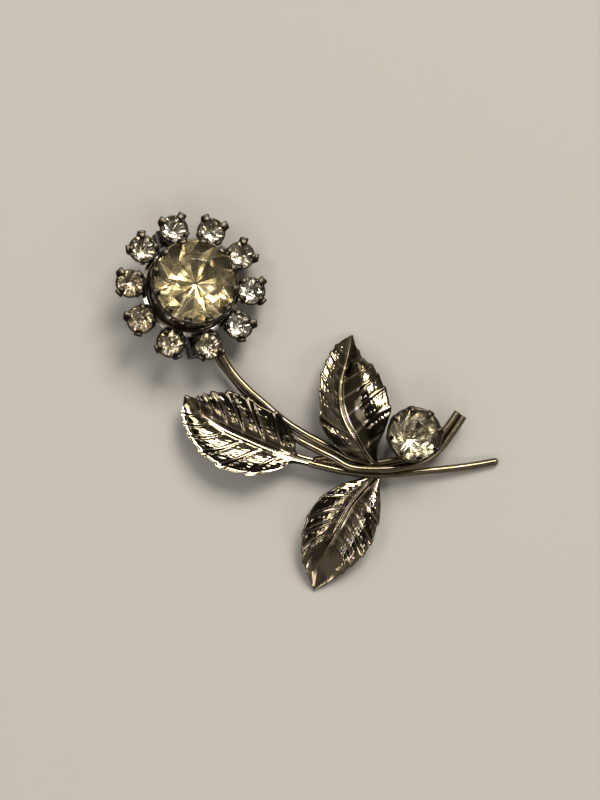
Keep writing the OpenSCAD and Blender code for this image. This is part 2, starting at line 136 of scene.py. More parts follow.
# The margin and the tip, which is flatter and plainer than the rest
TOOTH_RISE, FIRST_TOOTH_RISE = (0.1, 0.75, 1.0, -0.4), (0.0, 0.0, 0.2, 0.0)
SMALL_TOOTH, SMALL_TEETH_FROM, SMALL_TEETH_TO, LAST_TOOTH = 0.25, 0.12, 0.80, 0.95
TOOTH_EASE, TOOTH_ROOT, TOOTH_POWER, TOOTHED_W = 0.1, 0.80, 1.3, 0.5
TIP_EASE, TIP_PLAINNESS, VALLEY_ROUNDING, RIB_EASE = 0.22, 0.75, 0.45, 0.25
TIP_LIP_FROM, TIP_LIP_TO, TIP_LIP_ROOT = 0.70, 0.91, 0.40


def spline_rows(rows, s):
    """A smooth curve through a table's rows, at the places s."""
    table = np.array(rows, float)
    last = len(table) - 1
    i = np.clip(np.floor(s).astype(int), 0, last - 1)
    t = (s - i)[..., None]
    a, b = table[np.maximum(i - 1, 0)], table[i]
    c, d = table[i + 1], table[np.minimum(i + 2, last)]
    return (2 * b + (c - a) * t + (2 * a - 5 * b + 4 * c - d) * t**2
            + (3 * b - a - 3 * c + d) * t**3) / 2


def ease(value, start, length):
    """0 up to start, 1 from start + length on, and a straight rise between."""
    return np.clip((value - start) / length, 0, 1)


def tooth_profile(v):
    """How far the margin stands out along the leaf: each side vein ends in a tooth."""
    places, heights = [0, VEIN_FIRST - VEIN_PITCH / 2], [0, 0]
    for k in range(VEIN_COUNT):
        vein = VEIN_FIRST + k * VEIN_PITCH
        places += [vein - VEIN_PITCH / 2, vein - VEIN_FOOT, vein, vein + VEIN_FOOT]
        heights += TOOTH_RISE if k else FIRST_TOOTH_RISE
    small = np.abs(np.sin(2 * np.pi * (v - VEIN_FIRST) / VEIN_PITCH))
    small *= ease(v, SMALL_TEETH_FROM, TOOTH_EASE) * (1 - ease(v, SMALL_TEETH_TO, TOOTH_EASE))
    return np.interp(v, places + [LAST_TOOTH, 1], heights + [0, 0]) + SMALL_TOOTH * small


def side_veins(phase, a):
    """Height of the veins and their grooves, and the distance from a vein in vein feet."""
    near = np.clip(np.round(phase), 0, VEIN_COUNT - 1)
    off = (phase - near) * VEIN_PITCH / VEIN_FOOT
    vein = VEIN_HEIGHT * np.exp(-(off / VEIN_WIDTH) ** 2) * (1 - VEIN_THINNING * a)
    vein -= GROOVE_DEPTH * np.exp(-((off + GROOVE_PLACE) / GROOVE_WIDTH) ** 2)
    return vein, off


def hatching(phase, dist, side, bars):
    """The bars between two veins, from 0 in their hollows to 1 on their tops."""
    across = phase - np.floor(phase)
    uneven = np.sin(3.1 * dist + 7.3 * phase) + np.sin(5.7 * dist - 4.1 * phase)
    rows = dist / HATCH_PITCH + HATCH_LEAN * across * side + ROW_SHIFT * np.floor(phase)
    ridge = 0.5 + 0.5 * np.cos(2 * np.pi * (rows + HATCH_WOBBLE * uneven))
    bar = 0.5 - 0.5 * np.cos(2 * np.pi * bars * across + BAR_WOBBLE * uneven)
    return ridge * bar * (1 - BAR_FADE + BAR_FADE * np.sin(2.3 * dist - 5.1 * phase))


def leaf_half(leaf, side, v, a):
    """Points of half a leaf in millimetres, and how bright each is, from wear and painted shade.

    v runs from the stalk to the tip, a from the midrib to the margin.
    """
    rows, half = leaf["rows"], (side + 1) // 2
    run_on = VEIN_SWEEP * np.minimum(1, v / SWEEP_FROM) * np.minimum(1, (1 - v) / SWEEP_TO)
    r = spline_rows(rows, np.clip(v + run_on * a**SWEEP_POWER, 0, 1) * (len(rows) - 1))
    mid, rim = r[..., 0:3], r[..., 3:6] if side < 0 else r[..., 6:9]
    half_w = np.linalg.norm(rim - mid, axis=-1)
    dist = a * half_w
    to_margin = half_w - dist
    fade = np.minimum(1, half_w / FULL_RELIEF_W)
    rib_shape, strip = leaf["rib"], leaf["hatch_from"][half]
    plain_tip = ease(v, rib_shape["until"], TIP_EASE)
    bulge = leaf["swell"][half] * ease(v, 0, leaf["swell_from"][half]) * fade * np.sin(np.pi * a)
    bulge *= 1 - TIP_PLAINNESS * plain_tip

    phase = (v - VEIN_FIRST) / VEIN_PITCH
    vein, off = side_veins(phase, a)
    pillow = PANEL_SWELL * np.sin(np.pi * (phase - np.floor(phase)))
    pillow = pillow * np.sin(np.pi * a) ** PANEL_POWER
    veined = 1 - ease(v, leaf["veins_until"] - 0.12, 0.12)
    hatched = ease(np.abs(off), VEIN_CLEARANCE, 1) * ease(dist, strip, STRIP_EASE)
    hatched *= 1 - ease(v, leaf["hatch_until"][half], HATCH_EASE)
    hatched *= ease(to_margin, MARGIN_CLEARANCE, STRIP_EASE)
    bars = hatching(phase, dist, side, leaf["bars"][half]) * hatched
    relief = (vein + pillow) * veined + HATCH_HEIGHT * bars
    relief *= ease(dist, 0.8 * strip, STRIP_EASE)

    off_crest = (dist - rib_shape["crest"]) / rib_shape["width"]
    rib_left = 1 - ease(v, rib_shape["until"] - RIB_EASE, RIB_EASE)
    rib = rib_shape["height"] * np.exp(-off_crest**2) * np.maximum(rib_left, rib_shape["trace"])
    rise, edge_width = leaf["edge"][half]
    edge = rise * (1 - ease(to_margin, 0, edge_width)) ** 2
    near_tip = ease(v, TIP_LIP_FROM, 0.08) * (1 - ease(v, TIP_LIP_TO, 0.06))
    edge += leaf["tip_lip"][half] * near_tip * ease(a, TIP_LIP_ROOT, 1 - TIP_LIP_ROOT) ** 2
    toothed = 1 - ease(v, leaf["veins_until"] + 0.02, TOOTH_EASE)
    tooth = leaf["tooth"] * toothed * tooth_profile(v) / np.maximum(half_w, 0.6)
    out = 1 + tooth * ease(a, TOOTH_ROOT, 1 - TOOTH_ROOT) ** TOOTH_POWER * (half_w > TOOTHED_W)

    points = mid + (rim - mid) * (a * out)[..., None]
    valley = (rim[..., 2] - mid[..., 2]) * (a - VALLEY_ROUNDING * a**1.4)
    points[..., 2] += bulge + fade * (relief + rib + edge) - valley * plain_tip
    # Plain parts take their half's brightness, which is painted shade where the half lies in shade.
    rub_and_shade = leaf["plain_wear_and_shade"][half] * (1 - hatched) + HOLLOW_RUB * hatched
    rub_and_shade += (1 - HOLLOW_RUB) * bars
    rub_and_shade += VEIN_RUB * np.maximum(vein, 0) / VEIN_HEIGHT * veined
    rub_and_shade += rib / rib_shape["height"] + np.maximum(edge, 0) / EDGE_RUB_HEIGHT
    return points, np.clip(rub_and_shade, 0, 1)


def face_outwards(mesh):
    """Turns all faces of closed shells outwards."""
    made = bmesh.new()
    made.from_mesh(mesh)
    bmesh.ops.recalc_face_normals(made, faces=made.faces)
    made.to_mesh(mesh)
    made.free()


def in_scene(name, data):
    """A new object at the origin that shows a mesh, a lamp or a camera."""
    shown = bpy.data.objects.new(name, data)
    bpy.context.scene.collection.objects.link(shown)
    return shown


def leaf_mesh(name, leaf):
    """A closed stamped leaf. Its back follows its face, as in pressed sheet."""
    v = np.linspace(0, 1, LEAF_STATIONS)[:, None]
    step = np.linspace(0, 1, HALF_LEAF_COLUMNS)[None, :]
    v, a = np.broadcast_arrays(v, step)
    left, left_half_rub_shade = leaf_half(leaf, -1, v, a)
    right, right_half_rub_shade = leaf_half(leaf, 1, v, a)
    top = np.concatenate([left[:, ::-1], right[:, 1:]], axis=1)
    rub_and_shade = np.concatenate([left_half_rub_shade[:, ::-1], right_half_rub_shade[:, 1:]], axis=1).ravel()
    bottom = top.copy()
    bottom[..., 2] -= LEAF_THICKNESS
    n, m = top.shape[:2]
    index = np.arange(n * m).reshape(n, m)
    q = np.stack([index[:-1, :-1], index[1:, :-1], index[1:, 1:], index[:-1, 1:]], -1)
    q = q.reshape(-1, 4)
    under = q[:, ::-1] + n * m
    rim = np.concatenate([index[0, :], index[1:, -1], index[-1, -2::-1], index[-2:0:-1, 0]])
    ahead = np.roll(rim, -1)
    wall = np.stack([rim, ahead, ahead + n * m, rim + n * m], -1)
    points = (np.concatenate([top.reshape(-1, 3), bottom.reshape(-1, 3)])
              + np.array(CENTRE_SHIFT)) * MM
    mesh = bpy.data.meshes.new(name)
    mesh.from_pydata(points.tolist(), [], np.concatenate([q, under, wall]).tolist())
    mesh.validate()
    face_outwards(mesh)
    mesh.shade_smooth()
    # The brightness mask holds wear and painted shade; the back is all dark.
    rub_shade_layer = mesh.attributes.new("rub_and_shade", "FLOAT", "POINT")
    rub_shade_layer.data.foreach_set("value", np.concatenate([rub_and_shade, 0 * rub_and_shade]))
    return in_scene(name, mesh)


def add_sockets(tree, in_out, kinds):
    """Gives a node group its named inputs or outputs."""
    for label, kind in kinds.items():
        tree.interface.new_socket(label, in_out=in_out, socket_type="NodeSocket" + kind)


def sum_node(nodes, operation):
    """A node that works out one sum."""
    node = nodes.new("ShaderNodeMath")
    node.operation = operation
    return node


def plating_group():
    """Shared finish of the dark plating: colour that drifts a little, and fine wear."""
    group = bpy.data.node_groups.new("dark_plating_wear", "ShaderNodeTree")
    add_sockets(group, "INPUT", {"Scale": "Float", "Tint": "Color", "Worn Tint": "Color",
                                 "Oil Tint": "Color", "Polish": "Float"})
    add_sockets(group, "OUTPUT", {"Color": "Color", "Roughness": "Float", "Height": "Float"})
    n, link = group.nodes, group.links.new
    given, out = n.new("NodeGroupInput"), n.new("NodeGroupOutput")
    place = n.new("ShaderNodeTexCoord")
    cloud = n.new("ShaderNodeTexNoise")
    cloud.inputs["Detail"].default_value = 5
    fine = n.new("ShaderNodeTexNoise")
    fine.inputs["Detail"].default_value = 3
    finer = sum_node(n, "MULTIPLY")
    finer.inputs[1].default_value = 9
    mixed = n.new("ShaderNodeMix")
    mixed.data_type = "RGBA"
    drift = n.new("ShaderNodeMapRange")
    drift.inputs["From Min"].default_value, drift.inputs["From Max"].default_value = 0.35, 0.75
    sheen = n.new("ShaderNodeMapRange")
    sheen.inputs["To Min"].default_value, sheen.inputs["To Max"].default_value = 0.04, 0.16
    polish = sum_node(n, "MULTIPLY")
    # Faint interference colours lie in patches a millimetre or so across
    patches = n.new("ShaderNodeTexNoise")
    patches.inputs["Detail"].default_value = 2
    double = sum_node(n, "MULTIPLY")
    double.inputs[1].default_value = 2.3
    patch = n.new("ShaderNodeMapRange")
    patch.inputs["From Min"].default_value, patch.inputs["From Max"].default_value = 0.52, 0.66
    oiled = n.new("ShaderNodeMix")
    oiled.data_type = "RGBA"
    link(place.outputs["Object"], cloud.inputs["Vector"])
    link(place.outputs["Object"], fine.inputs["Vector"])
    link(given.outputs["Scale"], cloud.inputs["Scale"])
    link(given.outputs["Scale"], finer.inputs[0])
    link(finer.outputs[0], fine.inputs["Scale"])
    link(cloud.outputs["Fac"], drift.inputs["Value"])
    link(drift.outputs[0], mixed.inputs["Factor"])
    link(given.outputs["Tint"], mixed.inputs["A"])
    link(given.outputs["Worn Tint"], mixed.inputs["B"])
    link(fine.outputs["Fac"], sheen.inputs["Value"])
    link(place.outputs["Object"], patches.inputs["Vector"])
    link(given.outputs["Scale"], double.inputs[0])
    link(double.outputs[0], patches.inputs["Scale"])
    link(patches.outputs["Fac"], patch.inputs["Value"])
    link(patch.outputs[0], oiled.inputs["Factor"])
    link(mixed.outputs["Result"], oiled.inputs["A"])
    link(given.outputs["Oil Tint"], oiled.inputs["B"])
    link(oiled.outputs["Result"], out.inputs["Color"])
    link(sheen.outputs[0], polish.inputs[0])
    link(given.outputs["Polish"], polish.inputs[1])
    link(polish.outputs[0], out.inputs["Roughness"])
    link(fine.outputs["Fac"], out.inputs["Height"])
    return group


def new_material(name):
    """A material with nodes, and its shader."""
    material = bpy.data.materials.new(name)
    material.use_nodes = True
    return material, material.node_tree.nodes["Principled BSDF"]


DENT_DEPTH = 0.02


def plated(name, scale, tint, worn_tint, oil_tint, bump, polish=1.0, oxide_and_shade_tint=None):
    """A metal material that takes its colour, gloss and fine bump from the shared finish.

    A dark tint, oxide in hollows and painted shade, is mixed with the finish by a mask attribute.
    """
    material, shader = new_material(name)
    n, link = material.node_tree.nodes, material.node_tree.links.new
    shader.inputs["Metallic"].default_value = 1
    finish = n.new("ShaderNodeGroup")
    finish.node_tree = plating
    finish.inputs["Scale"].default_value = scale
    finish.inputs["Tint"].default_value = (*tint, 1)
    finish.inputs["Worn Tint"].default_value = (*worn_tint, 1)
    finish.inputs["Oil Tint"].default_value = (*oil_tint, 1)
    finish.inputs["Polish"].default_value = polish
    dents = n.new("ShaderNodeBump")
    dents.inputs["Strength"].default_value = bump
    dents.inputs["Distance"].default_value = DENT_DEPTH * MM
    link(finish.outputs["Color"], shader.inputs["Base Color"])
    # The dark tint is oxide in hollows, and painted shade on plain parts of halves in shade.
    if oxide_and_shade_tint:
        rub_and_shade = n.new("ShaderNodeAttribute")
        rub_and_shade.attribute_name = "rub_and_shade"
        relief = n.new("ShaderNodeMix")
        relief.data_type = "RGBA"
        relief.inputs["A"].default_value = (*oxide_and_shade_tint, 1)
        link(rub_and_shade.outputs["Fac"], relief.inputs["Factor"])
        link(finish.outputs["Color"], relief.inputs["B"])
        link(relief.outputs["Result"], shader.inputs["Base Color"])
    link(finish.outputs["Roughness"], shader.inputs["Roughness"])
    link(finish.outputs["Height"], dents.inputs["Height"])
    link(dents.outputs["Normal"], shader.inputs["Normal"])
    return material


plating = plating_group()
# The leaves' dark tint is oxide in hollows and painted shade on their shaded halves.
leaf_plating = plated("leaf_plating", 600, (0.48, 0.42, 0.28), (0.32, 0.26, 0.16),
                      (0.48, 0.37, 0.40), 0.2, oxide_and_shade_tint=(0.035, 0.028, 0.016))
for leaf_name, leaf_data in LEAVES.items():
    leaf_piece = leaf_mesh(leaf_name, leaf_data)
    leaf_piece.data.materials.append(leaf_plating)
    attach(leaf_piece, "root")
    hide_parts("leaf_spray")

# The stem is drawn brass wire, 0.92 mm thick: two wires side by side from under the flower
# to their cut ends, and a third below them whose end is filed round. They are bent by hand
# and soldered to one another and to the leaves where they cross.
HEAD_X, HEAD_Y, HEAD_Z = -14.04, 13.63, 3.541
HEAD_LEAN, LEAN_TURN = math.radians(12), math.radians(16.5)
WIRE_D, RIM_D, PIECE_GAP = 0.92, 0.9, 0.04
STEPS_PER_POINT = 12
# Under the head a wire's points hold x, y and the depth below the head's rim
WIRE_UNDER_HEAD = {
    "a": [[-11.60, 9.60, 0], [-10.85, 7.20, 0], [-10.12, 5.45, 0]],
    "b": [[-12.55, 9.35, 0.15], [-11.80, 7.48, 0.60], [-10.60, 5.15, 0.75]],
}
WIRE_FREE = {
    "a": [[-8.83, 3.42, 2.20], [-6.99, 1.38, 2.40], [-5.02, -0.37, 2.65], [-2.78, -2.33, 2.90],
          [-0.31, -4.00, 3.00], [2.03, -5.24, 2.90], [3.85, -6.18, 2.60], [5.60, -7.10, 2.45],
          [8.00, -7.70, 2.50], [11.20, -7.30, 2.70], [13.76, -6.65, 2.70], [15.66, -5.37, 2.55],
          [17.32, -3.39, 2.28], [18.66, -1.45, 1.98]],
    "b": [[-9.06, 3.10, 1.45], [-7.30, 0.95, 1.50], [-5.32, -0.95, 1.65], [-3.25, -2.88, 2.05],
          [-0.95, -4.76, 2.85], [1.62, -6.17, 3.05], [3.49, -7.11, 3.10], [5.07, -8.04, 3.10],
          [6.66, -8.41, 3.10], [9.45, -8.45, 3.05], [11.75, -8.20, 2.95], [14.24, -7.49, 2.75],
          [16.30, -6.09, 2.50], [18.04, -3.93, 2.22], [19.37, -1.96, 1.93]],
    "c": [[0.40, -7.64, 2.62], [1.40, -7.94, 2.56], [2.75, -8.26, 2.50], [4.41, -8.60, 2.45],
          [6.28, -8.88, 2.40], [8.61, -9.06, 2.30], [11.59, -8.90, 2.00], [14.02, -8.65, 1.65],
          [17.68, -8.29, 1.10], [20.73, -7.87, 0.70], [23.35, -7.40, 0.46],
          [23.80, -7.32, 0.46]],
}


def under_head(p):
    """A point that lies p[2] millimetres below the head's leaning rim plane."""
    along = (p[0] - HEAD_X) * math.cos(LEAN_TURN) + (p[1] - HEAD_Y) * math.sin(LEAN_TURN)
    below = RIM_D / 2 + PIECE_GAP + WIRE_D / 2 + p[2]
    return [p[0], p[1], HEAD_Z - along * math.tan(HEAD_LEAN) - below / math.cos(HEAD_LEAN)]


def plain_mesh(holder, name):
    """Turns a holder with a Geometry Nodes modifier into a plain mesh piece."""
    bpy.context.view_layer.update()
    shown = holder.evaluated_get(bpy.context.evaluated_depsgraph_get())
    mesh = bpy.data.meshes.new_from_object(shown)
    mesh.name = name
    bpy.data.objects.remove(holder)
    return in_scene(name, mesh)


def grown(name, seed_mesh, tree, **inputs):
    """Runs a Geometry Nodes tree on a seed mesh with its inputs set by identifier."""
    holder = in_scene(name + "_seed", seed_mesh)
    modifier = holder.modifiers.new("grow", "NODES")
    modifier.node_group = tree
    sockets = {s.name: s.identifier for s in tree.interface.items_tree if s.in_out == "INPUT"}
    for label, value in inputs.items():
        modifier[sockets[label.replace("_", " ")]] = value
    return plain_mesh(holder, name)


def wire_tree():
    """Draws a round wire of a given diameter along a line of vertices."""
    tree = bpy.data.node_groups.new("drawn_wire", "GeometryNodeTree")
    add_sockets(tree, "INPUT", {"Geometry": "Geometry", "Wire Diameter": "Float",
                                "Round End": "Float", "Finish": "Material"})
    add_sockets(tree, "OUTPUT", {"Geometry": "Geometry"})
    n, link = tree.nodes, tree.links.new
    given, out = n.new("NodeGroupInput"), n.new("NodeGroupOutput")
    line = n.new("GeometryNodeMeshToCurve")
    finer = n.new("GeometryNodeResampleCurve")
    finer.inputs["Count"].default_value = 260
    section = n.new("GeometryNodeCurvePrimitiveCircle")
    section.inputs["Resolution"].default_value = 20
    half = sum_node(n, "MULTIPLY")
    half.inputs[1].default_value = 0.5
    along = n.new("GeometryNodeSplineParameter")
    whole = n.new("GeometryNodeSplineLength")
    left = sum_node(n, "SUBTRACT")
    # Over the last half diameter the wire narrows as a ball does, to a dot and not to nothing
    share = sum_node(n, "DIVIDE")
    share.use_clamp = True
    back = sum_node(n, "SUBTRACT")
    back.inputs[0].default_value = 1
    square = sum_node(n, "MULTIPLY")
    rest = sum_node(n, "SUBTRACT")
    rest.inputs[0].default_value = 1.0004
    ball = sum_node(n, "SQRT")
    ends = n.new("ShaderNodeMix")
    ends.data_type = "FLOAT"
    ends.inputs[2].default_value = 1
    sweep = n.new("GeometryNodeCurveToMesh")
    sweep.inputs["Fill Caps"].default_value = True
    real = n.new("GeometryNodeRealizeInstances")
    coat = n.new("GeometryNodeSetMaterial")
    smooth = n.new("GeometryNodeSetShadeSmooth")
    link(given.outputs["Geometry"], line.inputs["Mesh"])
    link(line.outputs["Curve"], finer.inputs["Curve"])
    link(given.outputs["Wire Diameter"], half.inputs[0])
    link(half.outputs[0], section.inputs["Radius"])
    link(whole.outputs["Length"], left.inputs[0])
    link(along.outputs["Length"], left.inputs[1])
    link(left.outputs[0], share.inputs[0])
    link(half.outputs[0], share.inputs[1])
    link(share.outputs[0], back.inputs[1])
    link(back.outputs[0], square.inputs[0])
    link(back.outputs[0], square.inputs[1])
    link(square.outputs[0], rest.inputs[1])
    link(rest.outputs[0], ball.inputs[0])
    link(ball.outputs[0], ends.inputs[3])
    link(given.outputs["Round End"], ends.inputs[0])
    link(finer.outputs["Curve"], sweep.inputs["Curve"])
    link(ends.outputs[0], sweep.inputs["Scale"])
    link(section.outputs["Curve"], sweep.inputs["Profile Curve"])
    link(sweep.outputs["Mesh"], smooth.inputs["Geometry"])
    link(smooth.outputs["Geometry"], real.inputs["Geometry"])
    link(real.outputs["Geometry"], coat.inputs["Geometry"])
    link(given.outputs["Finish"], coat.inputs["Material"])
    link(coat.outputs["Geometry"], out.inputs["Geometry"])
    return tree


wire_plating = plated("wire_plating", 420, (0.18, 0.148, 0.090), (0.12, 0.095, 0.055),
                      (0.17, 0.14, 0.125), 0.12, polish=2.2)
drawn_wire = wire_tree()
for wire_name in "abc":
    route = [under_head(p) for p in WIRE_UNDER_HEAD.get(wire_name, [])] + WIRE_FREE[wire_name]
    steps = np.linspace(0, len(route) - 1, STEPS_PER_POINT * len(route))
    line = (spline_rows(route, steps) + np.array(CENTRE_SHIFT)) * MM
    seed = bpy.data.meshes.new("wire_line")
    seed.from_pydata(line.tolist(), [(i, i + 1) for i in range(len(line) - 1)], [])
    wire = grown("stem_wire_" + wire_name, seed, drawn_wire, Wire_Diameter=WIRE_D * MM,
                 Round_End=1.0 if wire_name == "c" else 0.0, Finish=wire_plating)
    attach(wire, "root")
    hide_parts("leaf_spray")

# The solder is a brownish puddle that ran between the wires and the left leaf's stalk and
# set there. It bulges a little where it filled the gaps.
SOLDER_POINTS = [[0.87, -7.41, 2.68], [2.90, -7.32, 2.69], [5.30, -8.05, 2.67]]
SOLDER_R, SOLDER_BLUNTNESS = 0.5292, 0.002
SOLDER_STATIONS, SOLDER_SIDES = 60, 28


def mesh_piece(name, points, faces, material, smooth=True):
    """A new piece from points in millimetres, with outward normals."""
    mesh = bpy.data.meshes.new(name)
    mesh.from_pydata((np.asarray(points, float) * MM).tolist(), [], faces)
    face_outwards(mesh)
    if smooth:
        mesh.shade_smooth()
    mesh.materials.append(material)
    return in_scene(name, mesh)


def ring_skin(rings):
    """Faces over a stack of equal rings, with both ends closed by one face."""
    n, m = len(rings), len(rings[0])
    faces = [(i * m + j, i * m + (j + 1) % m, (i + 1) * m + (j + 1) % m, (i + 1) * m + j)
             for i in range(n - 1) for j in range(m)]
    faces.append(tuple(range(m)))
    faces.append(tuple((n - 1) * m + j for j in reversed(range(m))))
    return np.concatenate([np.asarray(r, float) for r in rings]), faces


solder_finish = plated("solder_finish", 900, (0.20, 0.14, 0.085), (0.11, 0.075, 0.045),
                       (0.16, 0.12, 0.09), 0.6, polish=1.8)
solder_line = spline_rows(SOLDER_POINTS, np.linspace(0, len(SOLDER_POINTS) - 1, SOLDER_STATIONS))
around = np.linspace(0, 2 * np.pi, SOLDER_SIDES, endpoint=False)
solder_rings = []
for place, share in zip(solder_line, np.linspace(-1, 1, SOLDER_STATIONS)):
    taper = math.sqrt(max(1 - abs(share) ** 6, SOLDER_BLUNTNESS))
    lumps = 1 + 0.05 * np.sin(3 * around + 5 * share) + 0.04 * np.sin(7 * share + around)
    width = SOLDER_R * taper * lumps
    solder_rings.append(np.stack([place[0] + 0 * around, place[1] + width * np.cos(around),
                                  place[2] + width * np.sin(around)], -1))
solder_points, solder_faces = ring_skin(solder_rings)
solder = mesh_piece("solder", solder_points + np.array(CENTRE_SHIFT), solder_faces, solder_finish)
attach(solder, "root")
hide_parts("leaf_spray")

# The bud is a turned brass cup with eight claws bent over its stone, soldered on the wires
# beside the upper leaf.
PAVILION_H, GIRDLE_H, CROWN_H, TABLE_R = 0.40, 0.03, 0.17, 0.25
CROWN_SLOPE = (CROWN_H - GIRDLE_H / 2) / (0.5 - TABLE_R)
BUD_STONE_D = 6.2
BUD_CUP = {"wall": 0.25, "floor": 0.3, "base": 0.72, "claws": 8, "phase": -2,
           "claw_w": 0.8, "claw_t": 0.3, "reach": 0.6,
           "widths": [1.0, 1.15, 1.05, 0.85, 0.6, 0.25]}
BUD_SEAT, BUD_TURN, BUD_LEAN = Vector((13.05, -4.39, 2.25)), math.radians(10), math.radians(4)
BUD_PLACE = (Matrix.Translation(CENTRE_SHIFT + BUD_SEAT)
             @ Matrix.Rotation(BUD_TURN, 4, "Z") @ Matrix.Rotation(BUD_LEAN, 4, "Y"))
BASE_EASE, LIP_EASE, SEAT_DEPTH = 0.08, 1.3, 0.12
CLAW_STEPS, CLAW_SIDES, CLAW_SQUARENESS = 20, 16, 0.7
CLAW_WIDTH_PLACES = [0, 0.4, 0.62, 0.8, 0.93, 1]
CLAW_THICKNESS_PLACES, CLAW_THICKNESSES = [0, 0.5, 0.85, 0.95, 1], [0.7, 1, 0.85, 0.65, 0.25]
KNEE_BULGE, BEND_BULGE, BEND_PLACE = np.array([0.04, 0.02]), np.array([0.06, 0.10]), 0.35


def placed(points, matrix):
    """Points moved by a 4 by 4 matrix, all in millimetres."""
    m = np.array(matrix)
    return np.asarray(points, float) @ m[:3, :3].T + m[:3, 3]


def turned(profile, segments):
    """A solid of revolution round z from a closed profile of radius and height."""
    around = np.linspace(0, 2 * np.pi, segments, endpoint=False)
    points, faces, rows = [], [], []
    for radius, height in profile:
        if radius < 1e-6:
            rows.append([len(points)])
            points.append((0, 0, height))
        else:
            rows.append([len(points) + j for j in range(segments)])
            points += [(radius * math.cos(a), radius * math.sin(a), height) for a in around]
    for low, high in zip(rows, rows[1:] + rows[:1]):
        for j in range(segments):
            k = (j + 1) % segments
            corners = [low[j % len(low)], low[k % len(low)], high[k % len(high)],
                       high[j % len(high)]]
            loop = tuple(dict.fromkeys(corners))
            if len(loop) > 2:
                faces.append(loop)
    return np.array(points), faces


def girdle_height(d, cup):
    """The height of a stone's girdle over the base of its setting."""
    return cup["floor"] + PIECE_GAP + PAVILION_H * d


def cup_body(d, cup, segments):
    """The turned wall of a setting with an eased lip."""
    top = girdle_height(d, cup)
    outer = d / 2 + PIECE_GAP + cup["wall"]
    base, seat, lip = outer * cup["base"], d / 2 + PIECE_GAP, cup["wall"] * LIP_EASE
    profile = [(0, 0), (base - BASE_EASE, 0), (base, BASE_EASE)]
    profile += [(base + (outer - base) * t, BASE_EASE + (top - lip - BASE_EASE) * t)
                for t in (0.25, 0.5, 0.75, 0.93, 1.0)]
    profile += [(seat + (outer - seat) * 0.85, top - lip * 0.6),
                (seat + (outer - seat) * 0.35, top - lip * 0.1), (seat + 0.02, top)]
    profile += [(seat, top - 0.02), (seat * 0.97, top - SEAT_DEPTH * d),
                (base - 2 * cup["wall"], cup["floor"]), (0, cup["floor"])]
    return turned(profile, segments)


def wall_radius(d, cup, height):
    """The radius of a setting's tapering wall at a height over its base."""
    outer = d / 2 + PIECE_GAP + cup["wall"]
    share = height / (girdle_height(d, cup) - cup["wall"] * LIP_EASE)
    return outer * (cup["base"] + (1 - cup["base"]) * min(share, 1))


def claw_shape(d, cup, flare):
    """One claw: a tongue that rises on the wall, bends at a knee and lies on the crown."""
    top, t, reach = girdle_height(d, cup), cup["claw_t"], cup["reach"]
    crown_foot = top + GIRDLE_H * d / 2
    knee = np.array([d / 2 + PIECE_GAP + t / 2 + 0.02 + flare, crown_foot + t])
    tip = np.array([d / 2 - reach + t * 0.45,
                    crown_foot + reach * CROWN_SLOPE + PIECE_GAP + t / 3])
    start, low = (np.array([wall_radius(d, cup, height) + t / 4, height])
                  for height in (top * 0.5, top * 0.75))
    bend = knee + (tip - knee) * BEND_PLACE + BEND_BULGE * t
    path = spline_rows([start, low, knee + KNEE_BULGE * t, bend, tip],
                       np.linspace(0, 4, CLAW_STEPS + 1))
    rings = []
    around = np.linspace(0, 2 * np.pi, CLAW_SIDES, endpoint=False)
    c, s = np.cos(around), np.sin(around)
    for i, here in enumerate(path):
        ahead = path[min(i + 1, CLAW_STEPS)] - path[max(i - 1, 0)]
        ahead /= np.linalg.norm(ahead)
        share = i / CLAW_STEPS
        half_w = cup["claw_w"] / 2 * np.interp(share, CLAW_WIDTH_PLACES, cup["widths"])
        half_t = t / 2 * np.interp(share, CLAW_THICKNESS_PLACES, CLAW_THICKNESSES)
        thick = half_t * np.sign(c) * np.abs(c) ** CLAW_SQUARENESS
        wide = half_w * np.sign(s) * np.abs(s) ** CLAW_SQUARENESS
        rings.append(np.stack([here[0] - ahead[1] * thick, wide, here[1] + ahead[0] * thick], -1))
    return ring_skin(rings)


def joined(*shapes):
    """Several closed shells as one list of points and faces."""
    points, faces, start = [], [], 0
    for shell_points, shell_faces in shapes:
        points.append(np.asarray(shell_points, float))
        faces += [tuple(i + start for i in f) for f in shell_faces]
        start += len(shell_points)
    return np.concatenate(points), faces


def ring_of_copies_tree():
    """Repeats its geometry round the z axis, from a first angle, in equal turns."""
    tree = bpy.data.node_groups.new("ring_of_copies", "GeometryNodeTree")
    add_sockets(tree, "INPUT", {"Geometry": "Geometry", "Copies": "Int",
                                "First Angle": "Float", "Finish": "Material"})
    add_sockets(tree, "OUTPUT", {"Geometry": "Geometry"})
    n, link = tree.nodes, tree.links.new
    given, out = n.new("NodeGroupInput"), n.new("NodeGroupOutput")
    centres = n.new("GeometryNodePoints")
    count = n.new("GeometryNodeInputIndex")
    step = sum_node(n, "DIVIDE")
    step.inputs[0].default_value = 2 * math.pi
    turn = sum_node(n, "MULTIPLY_ADD")
    axis = n.new("ShaderNodeCombineXYZ")
    copies = n.new("GeometryNodeInstanceOnPoints")
    real = n.new("GeometryNodeRealizeInstances")
    coat = n.new("GeometryNodeSetMaterial")
    link(given.outputs["Copies"], centres.inputs["Count"])
    link(given.outputs["Copies"], step.inputs[1])
    link(count.outputs[0], turn.inputs[0])
    link(step.outputs[0], turn.inputs[1])
    link(given.outputs["First Angle"], turn.inputs[2])
    link(turn.outputs[0], axis.inputs["Z"])
    link(centres.outputs[0], copies.inputs["Points"])
    link(given.outputs["Geometry"], copies.inputs["Instance"])
    link(axis.outputs[0], copies.inputs["Rotation"])
    link(copies.outputs[0], real.inputs["Geometry"])
    link(real.outputs["Geometry"], coat.inputs["Geometry"])
    link(given.outputs["Finish"], coat.inputs["Material"])
    link(coat.outputs["Geometry"], out.inputs["Geometry"])
    return tree


